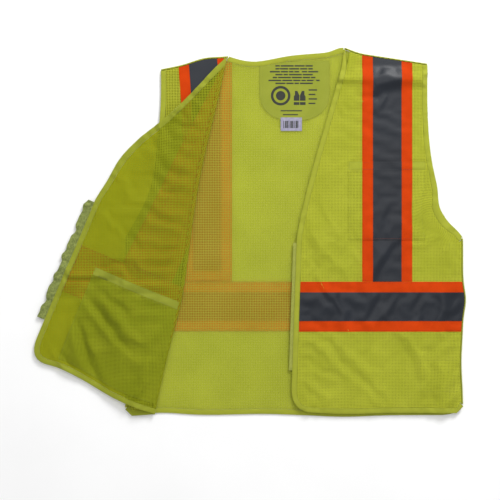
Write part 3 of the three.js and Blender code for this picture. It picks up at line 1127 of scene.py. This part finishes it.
@dataclass
class Back:
    """The back of the vest, inside up: mesh, bindings, the tapes under it, and the label."""

    bars_per_row: tuple[int, ...] = (4, 4, 5, 4, 5, 5, 4)
    bar_height: float = 2.5 * MM
    row_pitch: float = 5.2
    pieces: list[Piece] = field(default_factory=list)

    def build(self) -> None:
        """Makes every piece of the back."""
        cloth = part("back_panel", Stuff.BACK_INSIDE, "mesh", BODY, back_lift)
        self.pieces.append(cloth)
        for name in ("back_left_tape", "back_right_tape", "back_waist_tape"):
            self.pieces.append(part(f"{name}_orange", Stuff.ORANGE_INSIDE, "orange", BODY, back_lift))
            self.pieces.append(part(f"{name}_silver", Stuff.SILVER, "silver", BODY, back_lift))
        for name in ("neck", "hem", "left_armhole", "right_armhole"):
            self.pieces.append(
                part(f"back_{name}_binding", Stuff.BINDING, "binding", BODY, back_lift, **BINDING_SHAPE)
            )
        label = part("neck_label", Stuff.LABEL, "label", BODY, back_lift, spacing=4 * MM)
        sticker = part("size_sticker", Stuff.STICKER, "sticker", BODY, back_lift, spacing=3 * MM)
        self.pieces += [label, sticker]
        for piece in self.pieces:
            piece.build()
            piece.ride()
        self.stitch(label, cloth)
        self.print_label(label, sticker)

    def stitch(self, label: Piece, cloth: Piece) -> None:
        """Sews the bindings, the tapes' edges where they show through, and the label."""
        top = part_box("back_neck_binding")[1].z
        rows = [
            (inset(resampled(outline_of(f"back_{name}_binding"), 6 * MM), 1.8 * MM), True)
            for name in ("neck", "hem", "left_armhole", "right_armhole")
        ]
        sewn("back_binding", Stuff.THREAD, "binding", rows, lambda xy: back_lift(xy) + top - SUNK)
        rows = [
            (inset(outline_of(f"{name}_{layer}"), by * MM), True)
            for name in ("back_left_tape", "back_right_tape", "back_waist_tape")
            for layer, by in (("orange", 2), ("silver", 1.5))
        ]
        sewn("back_tape", Stuff.ORANGE_THREAD, "orange", rows, lambda xy: back_lift(xy) + cloth.high)
        rows = [(inset(label.cut, by * MM), True) for by in (2, 5.5)]
        sewn("label", Stuff.THREAD, "label", rows, lambda xy: back_lift(xy) + label.high)

    def print_label(self, label: Piece, sticker: Piece) -> None:
        """Prints plain bars, a plain ring and a plain vest shape, none of which says anything."""
        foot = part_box("neck_label")[0].y
        shapes = []
        for i, bars in enumerate(self.bars_per_row):
            y = foot + (97 - i * self.row_pitch) * MM
            widths = [8 + 5 * ((i * 7 + j * 3) % 4) for j in range(bars)]
            x = -(sum(widths) + 1.6 * (bars - 1)) * MM / 2
            for w in widths:
                shapes.append(rectangle(x, y, w * MM, self.bar_height))
                x += (w + 1.6) * MM
        ring_at = (-24 * MM, foot + 45 * MM)
        shapes += [ring_segment(ring_at, 26 * MM, 35 * MM, k, 16) for k in range(16)]
        shapes.append(disc(ring_at, 17 * MM))
        shapes += vest_shape((10 * MM, foot + 41 * MM), 25 * MM)
        for k in range(4):
            shapes.append(rectangle(26 * MM, foot + (54 - k * 8) * MM, (15 - k % 2 * 3) * MM, 2.4 * MM))
        for k in range(2):
            shapes.append(
                rectangle((4 * k - 24) * MM, foot + (17 - k * 7) * MM, (38 - 11 * k) * MM, 2 * MM)
            )
        ink = printed("label_print", Stuff.INK, shapes, lambda xy: back_lift(xy) + label.high)
        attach(ink, BODY)
        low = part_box("size_sticker")[0]
        bars = [
            rectangle(low.x + (5 + 3.1 * k) * MM, low.y + 5 * MM, (1.2 + (k * 5 % 3) * 0.6) * MM, 13 * MM)
            for k in range(9)
        ]
        ink = printed("sticker_bars", Stuff.INK, bars, lambda xy: back_lift(xy) + sticker.high)
        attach(ink, BODY)


def rectangle(x: float, y: float, wide: float, high: float) -> Loop:
    """A rectangle from its low corner, counter-clockwise."""
    return np.array([(x, y), (x + wide, y), (x + wide, y + high), (x, y + high)])


def ring_segment(centre: tuple[float, float], inner: float, outer: float, k: int, parts: int) -> Loop:
    """One of the equal segments that make a flat ring."""
    angles = np.linspace(math.tau * k / parts, math.tau * (k + 1) / parts, 4)
    way = np.column_stack([np.cos(angles), np.sin(angles)])
    return np.concatenate([way * outer, way[::-1] * inner]) / 2 + np.array(centre)


def disc(centre: tuple[float, float], across: float) -> Loop:
    """A round spot."""
    angles = np.linspace(0, math.tau, 20, endpoint=False)
    return np.column_stack([np.cos(angles), np.sin(angles)]) * across / 2 + np.array(centre)


def vest_shape(centre: tuple[float, float], tall: float) -> list[Loop]:
    """A plain little picture of a sleeveless top with an open neck, in two halves."""
    skirt = np.array([(0.02, -0.5), (0.42, -0.5), (0.42, -0.3), (0.02, -0.3)])
    chest = np.array(
        [(0.02, -0.2), (0.42, -0.2), (0.42, 0.1), (0.34, 0.22), (0.34, 0.5), (0.16, 0.5), (0.02, 0.18)]
    )
    halves = [skirt, chest]
    halves += [half[::-1] * np.array([-1, 1]) for half in halves]
    return [half * tall + np.array(centre) for half in halves]


def printed(name: str, ink: Stuff, shapes: list[Loop], top: Height) -> bpy.types.Object:
    """Lays thin flat shapes on a surface, as one piece.

    Args:
        name: the piece's name.
        ink: its finish.
        shapes: the outlines, counter-clockwise.
        top: the height of the surface below.

    Returns:
        The new object.
    """
    points, faces = [], []
    thickness = 0.08 * MM
    for shape in shapes:
        first, count = len(points), len(shape)
        placed = strayed(shape)
        base = top(placed)
        points += [(x, y, z + thickness) for (x, y), z in zip(placed, base)]
        points += [(x, y, z - thickness) for (x, y), z in zip(placed, base)]
        faces.append(tuple(range(first, first + count)))
        faces.append(tuple(range(first + 2 * count - 1, first + count - 1, -1)))
        for i in range(count):
            j = (i + 1) % count
            faces.append((first + i, first + i + count, first + j + count, first + j))
    mesh = bpy.data.meshes.new(name)
    mesh.from_pydata(points, [], faces)
    LOG.info("%s: %d shapes", name, len(shapes))
    return new_object(name, mesh, ink, np.array(points))


# ---------------------------------------------------------------- the left front


LEFT_ROOM = 3.2 * MM  # how far the left front can sink before it meets the back
LEFT_PANEL_OUTLINE = joined_at(LEFT_FOLD, outline_of("left_front_panel"), outline_of("left_side_panel"))


def left_seams(xy: np.ndarray) -> np.ndarray:
    """How far points of the left front are drawn down to its seams, from 0 to 1 at a seam."""
    to_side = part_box("left_side_seam")[0].x - xy[:, 0]
    to_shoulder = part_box("left_shoulder_seam")[0].y - xy[:, 1]
    return np.maximum(1 - smooth(to_side, 0, 38 * MM), 1 - smooth(to_shoulder, 0, 30 * MM))


def left_start(xy: np.ndarray) -> np.ndarray:
    """The left front before it settles: it keeps its height at the closure and comes down to the seams."""
    lift = LEFT_LIE.lift(xy)
    closure = smooth(xy[:, 0], 18 * MM, 55 * MM)
    lift = np.where(lift < 0, lift * closure, lift)
    down = left_seams(xy)
    return lift * (1 - 0.5 * down) - 1.9 * MM * down


def left_held(xy: np.ndarray) -> np.ndarray:
    """Where the left front is held: at its seams and along the closure."""
    closure = (1 - smooth(xy[:, 0], 12 * MM, 30 * MM)) * (xy[:, 1] < 125 * MM)
    return np.maximum(smooth(left_seams(xy), 0.8, 1.0), closure)


def left_ground(xy: np.ndarray) -> np.ndarray:
    """What the left front lies on: the back, some way under its CAD height."""
    return np.full(len(xy), -LEFT_ROOM)


LEFT_DRAPE = Drape(
    "left_front_drape", LEFT_PANEL_OUTLINE, left_start, left_held, left_ground, growth=0.015
)


def left_lift(xy: np.ndarray) -> np.ndarray:
    """How the left front lies, no lower than the back under it."""
    return np.clip(LEFT_DRAPE.lift(xy), -LEFT_ROOM, 6 * MM)


def pocket_lift(xy: np.ndarray) -> np.ndarray:
    """How the chest pocket lies: on the front, lower where it is sewn down along its sides and foot."""
    low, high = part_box("chest_pocket")
    edge = np.minimum(np.minimum(xy[:, 0] - low.x, high.x - xy[:, 0]), xy[:, 1] - low.y)
    return left_lift(xy) - 1.1 * MM * (1 - smooth(edge, 0, 14 * MM))


@dataclass
class LeftFront:
    """The wearer's left front, closed, outside up, with its chest pocket."""

    bend: float = 7 * MM
    seam_rows: tuple[float, float] = (13.0, 22.0)
    crossing: list[Piece] = field(default_factory=list)
    fixed: list[Piece] = field(default_factory=list)

    def across_fold(self, name: str, front: str, side: str, stuff: Stuff, slot: str, **more: object) -> Piece:
        """A piece that runs over the fold, made from the nodes on its two sides."""
        low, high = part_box(front)
        cut = joined_at(LEFT_FOLD, outline_of(front), outline_of(side))
        piece = Piece(name, (front, side), stuff, slot, LEFT, cut, low.z, high.z, lie=left_lift, **more)
        self.crossing.append(piece)
        return piece

    def blend(self, made: bpy.types.Object) -> None:
        """Bakes a piece's placement into its mesh."""
        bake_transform(made)

    def build(self) -> None:
        """Makes every piece of the left front."""
        cloth = self.across_fold(
            "left_front_cloth", "left_front_panel", "left_side_panel", Stuff.OUTSIDE, "mesh", spacing=4.5 * MM
        )
        names = ("left_front_binding", "left_hem_binding")
        self.across_fold("left_front_edge", *names, Stuff.BINDING, "binding", **BINDING_SHAPE)
        for layer, stuff in (("orange", Stuff.ORANGE), ("silver", Stuff.SILVER)):
            names = (f"left_waist_front_tape_{layer}", f"left_waist_side_tape_{layer}")
            self.across_fold(f"left_waist_tape_{layer}", *names, stuff, layer)
            self.fixed.append(part(f"left_shoulder_tape_{layer}", stuff, layer, BODY, left_lift))
            self.fixed.append(part(f"chest_pocket_tape_{layer}", stuff, layer, BODY, pocket_lift))
        self.fixed += [
            part("left_armhole_binding", Stuff.BINDING, "binding", BODY, left_lift, **BINDING_SHAPE),
            part("chest_pocket", Stuff.OUTSIDE, "mesh", BODY, pocket_lift),
            part("chest_pocket_hem", Stuff.BINDING, "binding", BODY, pocket_lift, **HEM_SHAPE),
            part("side_label", Stuff.LABEL, "label", BODY, left_lift),
        ]
        for piece in self.crossing:
            self.blend(piece.build())
        for piece in self.fixed:
            piece.build()
            piece.ride()
        hook = part("hook_strip", Stuff.HOOK, "closure", LEFT, left_lift, **HEM_SHAPE)
        hook.build()
        hook.ride()
        self.stitch()

    def stitch(self) -> None:
        """Sews the edge, tapes and pocket."""
        edge = self.crossing[1]
        rows = [(inset(resampled(edge.cut, 6 * MM), 1.7 * MM), True)]
        self.sew_across("left_edge", Stuff.THREAD, "binding", rows, edge.high - SUNK)
        for layer, stuff, by in (("orange", Stuff.ORANGE_THREAD, 2.2), ("silver", Stuff.GREY_THREAD, 1.6)):
            tape = next(p for p in self.crossing if p.name == f"left_waist_tape_{layer}")
            rows = [(inset(resampled(tape.cut, 20 * MM), by * MM), True)]
            self.sew_across(f"left_waist_{layer}", stuff, layer, rows, tape.high)
            for name in ("left_shoulder_tape", "chest_pocket_tape"):
                self.sew_round(f"{name}_{layer}", stuff, layer, by * MM, left_lift)
        low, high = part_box("left_side_seam")
        rows = [
            (np.array([(low.x - by * MM, low.y + 4 * MM), (low.x - by * MM, high.y - 4 * MM)]), False)
            for by in self.seam_rows
        ]
        rows.append((outline_of("side_label"), True))
        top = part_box("left_side_panel")[1].z
        sewn("left_side", Stuff.THREAD, "binding", rows, lambda xy: left_lift(xy) + top)
        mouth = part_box("chest_pocket_hem")[0].y + 1 * MM
        tape_low, tape_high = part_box("chest_pocket_tape_orange")
        rows = [(np.array([(tape_low.x, mouth), (tape_high.x, mouth)]), False)]
        tape_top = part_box("chest_pocket_tape_silver")[1].z
        sewn("pocket_mouth", Stuff.GREY_THREAD, "silver", rows, lambda xy: left_lift(xy) + tape_top)
        for node, slot in (("chest_pocket", "mesh"), ("chest_pocket_hem", "binding")):
            self.sew_round(node, Stuff.THREAD, slot, 2 * MM, pocket_lift)

    def sew_across(
        self, name: str, stuff: Stuff, slot: str, rows: list[tuple[Loop, bool]], top: float
    ) -> None:
        """Adds stitching that runs over the fold, at the height of the cloth."""
        thread = Stitching(f"{name}_stitching", stuff, slot, LEFT, rows, lambda xy: left_lift(xy) + top)
        self.blend(thread.build())

    @staticmethod
    def sew_round(node: str, stuff: Stuff, slot: str, by: float, lie: Height) -> None:
        """Adds stitching round the inside of a node's edge."""
        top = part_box(node)[1].z
        sewn(node, stuff, slot, [(inset(outline_of(node), by), True)], lambda xy: lie(xy) + top)


# ---------------------------------------------------------------- the right front


def fold_sway(along: np.ndarray) -> np.ndarray:
    """How far the soft fold strays from its straight line: in near the neck, out at the waist.

    Args:
        along: distance along the fold from the neck, negative downwards, in metres.

    Returns:
        The stray in metres, positive towards the wearer's left.
    """
    # with much more at the waist, the closed front runs into the fixed part
    waist = 6.2 * MM * np.exp(-(((along + 440 * MM) / (95 * MM)) ** 2))
    chest = -5 * MM * np.exp(-(((along + 210 * MM) / (110 * MM)) ** 2))
    return waist + chest


def swayed(xy: np.ndarray) -> np.ndarray:
    """Points near the fold, carried along with it as it strays."""
    across, along = RIGHT_FOLD.sides(xy)
    near = 1 - smooth(np.abs(across), 0, 75 * MM)
    return RIGHT_FOLD.place(across + fold_sway(along) * near, along)


def flap_ground(xy: np.ndarray) -> np.ndarray:
    """What the turned-back front lies on: the vest, and the floor beyond it."""
    outside = np.where(inside(xy, BACK_OUTLINE), 0.0, distance_to(xy, BACK_OUTLINE, True)[0])
    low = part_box("right_front_tape_silver")[0].z
    return -(low - 0.9 * MM) * smooth(outside, 2 * MM, 62 * MM)


def flap_start(xy: np.ndarray) -> np.ndarray:
    """The turned-back front before it settles, with the folds that it was dropped in."""
    return FLAP_LIE.lift(xy) + flap_ground(xy)


def flap_held(xy: np.ndarray) -> np.ndarray:
    """Where the turned-back front is held: along its fold."""
    return 1 - smooth(-RIGHT_FOLD.sides(xy)[0], 4 * MM, 16 * MM)


FLAP_DRAPE = Drape(
    "right_front_drape", outline_of("right_front_panel"), flap_start, flap_held, flap_ground, growth=0.025
)


def flap_lift(xy: np.ndarray) -> np.ndarray:
    """How the turned-back front lies: wrinkled on the vest, and down on the floor beyond it.

    Args:
        xy: points seen from above, at rest.

    Returns:
        Their lift in metres.
    """
    away = smooth(-RIGHT_FOLD.sides(xy)[0], 8 * MM, 34 * MM)
    ground = flap_ground(xy)
    lift = FLAP_DRAPE.lift(xy)
    if FLAP_DRAPE.tree is not None:
        # the sheet is too coarse to keep its folds crisp, so they are put back
        lift = lift + 1.4 * sum(crease.lift(xy) for crease in FLAP_LIE.creases) + 1.8 * MM
    return np.clip(lift * away, ground, ground + 9 * MM)


def shoulder_lift(xy: np.ndarray) -> np.ndarray:
    """How the fixed part of the right front lies, under the turned-back part."""
    across, _ = RIGHT_FOLD.sides(xy)
    return SHOULDER_LIE.lift(xy) * smooth(-across, 5 * MM, 40 * MM)


@dataclass
class RightFront:
    """The wearer's right front, turned back about its fold so that its inside is up."""

    fold_half: float = 7 * MM
    flap: list[Piece] = field(default_factory=list)
    fixed: list[Piece] = field(default_factory=list)
    folds: list[Piece] = field(default_factory=list)

    def rolled(self, mesh_z: float) -> Callable[[np.ndarray, np.ndarray], np.ndarray]:
        """Turns closed, flat coordinates into the folded shape.

        Args:
            mesh_z: the closed height of the cloth whose length decides the roll.

        Returns:
            A function from flat points and closed heights to folded points.
        """
        radius = RIGHT_FOLD.height - mesh_z

        def spread(xy: np.ndarray, z: np.ndarray) -> np.ndarray:
            """Folded points from flat points and closed heights."""
            across, along = RIGHT_FOLD.sides(xy)
            turn = np.clip((across + math.pi * radius / 2) / radius, 0, math.pi)
            reach = RIGHT_FOLD.height - z
            bent = -math.pi * radius / 2 + reach * np.sin(turn)
            folded = np.where(turn <= 0, across, np.where(turn >= math.pi, -across, bent))
            placed = swayed(RIGHT_FOLD.place(folded, along))
            return np.column_stack([placed, RIGHT_FOLD.height - reach * np.cos(turn)])

        return spread

    def add(
        self,
        name: str,
        front: str,
        side: str,
        stuff: Stuff,
        slot: str,
        outside: Stuff | None = None,
        **more: object,
    ) -> None:
        """Adds the flap, the fold and the fixed part of a piece that runs over the fold.

        Args:
            name: what the three have in common.
            front: the CAD node on the flap.
            side: the CAD node on the fixed side.
            stuff: the finish, on the inside of the vest where the two differ.
            slot: the record's material slot; not used.
            outside: the finish on the outside of the vest, if it differs.
            **more: other fields of Piece.
        """
        outer = outside or stuff
        low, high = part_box(side)
        closed = RIGHT_FOLD.mirrored(outline_of(front))[::-1]
        whole = joined_at(RIGHT_FOLD, closed, outline_of(side))
        mesh_low, mesh_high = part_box("right_side_panel")
        spread = self.rolled((mesh_low.z + mesh_high.z) / 2)
        near, far = self.fold_half, -self.fold_half
        rest_low, rest_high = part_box(front)
        flap_cut = RIGHT_FOLD.mirrored(clipped(whole, near, 1))[::-1]
        flap_rim = RIGHT_FOLD.mirrored(whole)[::-1]
        if self.runs_over(whole, near, 1):
            self.flap.append(
                Piece(
                    f"{name}_flap", (front,), stuff, slot, RIGHT, flap_cut, rest_low.z, rest_high.z,
                    rim_of=flap_rim, under_stuff=outer, lie=flap_lift, spread=laid, **more,
                )
            )
        fold_cut = clipped(clipped(whole, near, -1), far, 1)
        # points close together, because they move far apart as the fold opens
        closer = {**more, "spacing": 1.5 * MM}
        self.folds.append(
            Piece(
                f"{name}_fold", (), outer, slot, RIGHT, fold_cut, low.z, high.z,
                rim_of=whole, under_stuff=stuff, spread=spread, **closer,
            )
        )
        self.fixed.append(
            Piece(
                f"{name}_side", (side,), outer, slot, BODY, clipped(whole, far, -1), low.z, high.z,
                rim_of=whole, under_stuff=stuff, spread=laid, lie=shoulder_lift, **more,
            )
        )

    @staticmethod
    def runs_over(loop: Loop, across: float, hand: int) -> bool:
        """Whether any of an outline lies beyond this distance across the fold."""
        return bool((hand * (RIGHT_FOLD.sides(loop)[0] - across) > 1 * MM).any())

    def build(self) -> None:
        """Makes every piece of the right front."""
        names = ("right_front_panel", "right_side_panel")
        # the turned-back inside is darker than its outside: painted shade
        inside, outside = Stuff.FLAP_INSIDE_PAINTED_SHADE, Stuff.FLAP_OUTSIDE
        self.add("right_front_cloth", *names, inside, "mesh", outside=outside, spacing=4.5 * MM)
        names = ("right_front_binding", "right_hem_binding")
        self.add("right_front_edge", *names, Stuff.FLAP_BINDING, "binding", **BINDING_SHAPE)
        for layer, stuff in (("orange", Stuff.ORANGE), ("silver", Stuff.SILVER)):
            names = (f"right_waist_front_tape_{layer}", f"right_waist_side_tape_{layer}")
            self.add(f"right_waist_{layer}", *names, stuff, layer)
            names = (f"right_front_tape_{layer}", f"right_shoulder_tape_{layer}")
            self.add(f"right_vertical_{layer}", *names, stuff, layer)
        crinkled = {"spacing": 2 * MM, "soft_edge": 1.5 * MM, "ripple": 0.9 * MM, "ripple_size": 9 * MM}
        self.flap += [
            part("inner_pocket", Stuff.POCKET, "mesh", RIGHT, flap_lift, spread=laid),
            part("inner_pocket_hem", Stuff.HEM, "binding", RIGHT, flap_lift, spread=laid, **HEM_SHAPE),
            part("loop_strip", Stuff.LOOP, "closure", RIGHT, flap_lift, spread=wavy_edge, **crinkled),
        ]
        for piece in self.flap:
            piece.build()
            piece.flatten(RIGHT_FOLD.joint)
        for piece in self.fixed:
            piece.build()
            piece.ride()
        for piece in self.folds:
            made = piece.build()
            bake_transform(made)
        armhole = part(
            "right_armhole_binding", Stuff.BINDING, "binding", BODY, shoulder_lift, **BINDING_SHAPE
        )
        armhole.build()
        armhole.ride()
        self.stitch()

    def stitch(self) -> None:
        """Sews the edge, the pocket and the tapes, whose seams show on the inside."""
        rows_on = {
            "right_front_edge_flap": (Stuff.THREAD, 1.7, -0.15),
            "right_waist_orange_flap": (Stuff.ORANGE_THREAD, 2.2, None),
            "right_waist_silver_flap": (Stuff.ORANGE_THREAD, 1.6, None),
            "right_vertical_orange_flap": (Stuff.ORANGE_THREAD, 2.2, None),
            "right_vertical_silver_flap": (Stuff.ORANGE_THREAD, 1.6, None),
            "inner_pocket": (Stuff.THREAD, 2.0, 0.0),
            "inner_pocket_hem": (Stuff.THREAD, 2.0, -0.1),
        }
        cloth_top = self.flap[0].high
        for piece in self.flap:
            if piece.name not in rows_on:
                continue
            stuff, by, sunk = rows_on[piece.name]
            top = cloth_top if sunk is None else piece.high + sunk * MM
            loop = swayed(inset(resampled(piece.cut, 8 * MM), by * MM))
            across, _ = RIGHT_FOLD.sides(loop)
            rows = open_runs(loop, across < -self.fold_half - 3 * MM)
            slot = "orange" if stuff is Stuff.ORANGE_THREAD else "binding"
            name = f"{piece.name}_stitching"
            thread = Stitching(name, stuff, slot, RIGHT, rows, lambda xy, top=top: flap_lift(xy) + top)
            made = thread.build()
            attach(made, RIGHT)
            pressed(made)


def laid(xy: np.ndarray, z: np.ndarray) -> np.ndarray:
    """Rest coordinates, carried along with the straying fold."""
    return np.column_stack([swayed(xy), z])


def wavy_edge(xy: np.ndarray, z: np.ndarray) -> np.ndarray:
    """The loop strip's crinkled outer edge.

    Args:
        xy: points on the strip at rest.
        z: their heights.

    Returns:
        The points, pushed in and out along the strip's free edge.
    """
    loop = outline_of("loop_strip")
    legs = np.roll(loop, -1, axis=0) - loop
    lengths = np.linalg.norm(legs, axis=1)
    way = legs[lengths.argmax()] / lengths.max()
    side = np.array([-way[1], way[0]])
    side = side if side[0] < 0 else -side
    middle = loop.mean(0)
    share = smooth((xy - middle) @ side, -9 * MM, 9 * MM)
    along = (xy - middle) @ way
    wave = 0.6 * np.sin(along / (3.1 * MM)) + np.sin(along / (5.3 * MM) + 1) + 0.9 * np.sin(along / (11 * MM))
    moved = xy + side * (wave * share * 1.5 * MM)[:, None]
    return np.column_stack([moved, z + wave * share * 0.5 * MM])


def clipped(loop: Loop, across: float, hand: int) -> Loop:
    """The part of an outline beyond a line beside the right fold.

    Args:
        loop: the outline, closed and flat.
        across: the line's distance from the fold.
        hand: 1 to keep what is further towards the wearer's left, -1 for the rest.

    Returns:
        The outline of the kept part.
    """
    values = hand * (RIGHT_FOLD.sides(loop)[0] - across)
    kept = []
    for i, (a, va) in enumerate(zip(loop, values)):
        b, vb = loop[(i + 1) % len(loop)], values[(i + 1) % len(loop)]
        if va >= 0:
            kept.append(a)
        if (va >= 0) != (vb >= 0):
            kept.append(a + (b - a) * va / (va - vb))
    return np.array(kept)


def open_runs(loop: Loop, kept: np.ndarray) -> list[tuple[Loop, bool]]:
    """The stretches of a closed line where kept is true."""
    if kept.all():
        return [(loop, True)]
    first = int(np.flatnonzero(~kept)[0])
    loop, kept = np.roll(loop, -first, axis=0), np.roll(kept, -first)
    # the first point isn't kept, so of the stretches between changes each second one is
    stretches = np.split(loop, np.flatnonzero(np.diff(kept)) + 1)[1::2]
    return [(run, False) for run in stretches if len(run) > 1]


# ---------------------------------------------------------------- seams and studio


@dataclass
class Seams:
    """The side and shoulder seams, where the fronts come down to the back."""

    left_top: float = 7.2 * MM
    right_top: float = 5.2 * MM
    low: float = 1.6 * MM

    def build(self) -> None:
        """Makes the four seams."""
        for side, top in (("left", self.left_top), ("right", self.right_top)):
            for where in ("side", "shoulder"):
                piece = part(f"{side}_{where}_seam", Stuff.BINDING, "binding", BODY, **SEAM_SHAPE)
                piece.low, piece.high = self.low, top
                piece.build()
                piece.ride()


@dataclass(frozen=True)
class Studio:
    """A pale floor, soft light from above and a camera looking straight down."""

    view_middle: tuple[float, float] = (-0.0788, 0.1011)
    view_wide: float = 0.895
    camera_height: float = 2.4
    sensor: float = 0.036

    def build(self) -> None:
        """Sets up floor, light, sky and camera."""
        bpy.ops.mesh.primitive_plane_add(size=8, location=(0, 0, -0.0003))
        floor = bpy.context.object
        floor.name = "studio_floor"
        f = Finish("matt_white_paint")
        grain = f.node("ShaderNodeTexNoise", Scale=40.0, Detail=3.0)
        colour = f.shade(grain.outputs[0], "#f6f6f6", "#fafafa", 0.3, 0.7)
        paint = f.node("ShaderNodeBsdfPrincipled", Base_Color=colour, Roughness=0.9)
        floor.data.materials.append(f.finish(paint.outputs[0]))
        self.light("overhead", (0.0, 0.9, 2.8), 2.2, 24.0)
        self.light("window", (0.8, 2.0, 1.6), 0.9, 48.0)
        world = bpy.data.worlds.new("studio")
        world.use_nodes = True
        world.node_tree.nodes["Background"].inputs[0].default_value = (1, 1, 1, 1)
        world.node_tree.nodes["Background"].inputs[1].default_value = 0.55
        scene = bpy.context.scene
        scene.world = world
        scene.view_settings.view_transform = "Standard"
        lens = bpy.data.cameras.new("camera")
        lens.sensor_width = self.sensor * 1000
        lens.lens = self.sensor * 1000 * self.camera_height / self.view_wide
        camera = bpy.data.objects.new("camera", lens)
        camera.location = (*self.view_middle, self.camera_height)
        bpy.context.collection.objects.link(camera)
        scene.camera = camera

    def light(self, name: str, place: tuple[float, float, float], size: float, power: float) -> None:
        """Adds a square soft light aimed at the vest."""
        data = bpy.data.lights.new(name, "AREA")
        data.energy, data.size = power, size
        made = bpy.data.objects.new(name, data)
        made.location = place
        aim = Vector((*self.view_middle, 0)) - Vector(place)
        made.rotation_euler = aim.to_track_quat("-Z", "Y").to_euler()
        bpy.context.collection.objects.link(made)


def main() -> None:
    """Builds the vest and its studio."""
    LEFT_DRAPE.settle()
    FLAP_DRAPE.settle()
    for assembly in (Back(), Seams(), LeftFront(), RightFront(), Studio()):
        assembly.build()


if __name__ == "__main__":
    logging.basicConfig(level=logging.INFO, format="%(message)s")
    main()
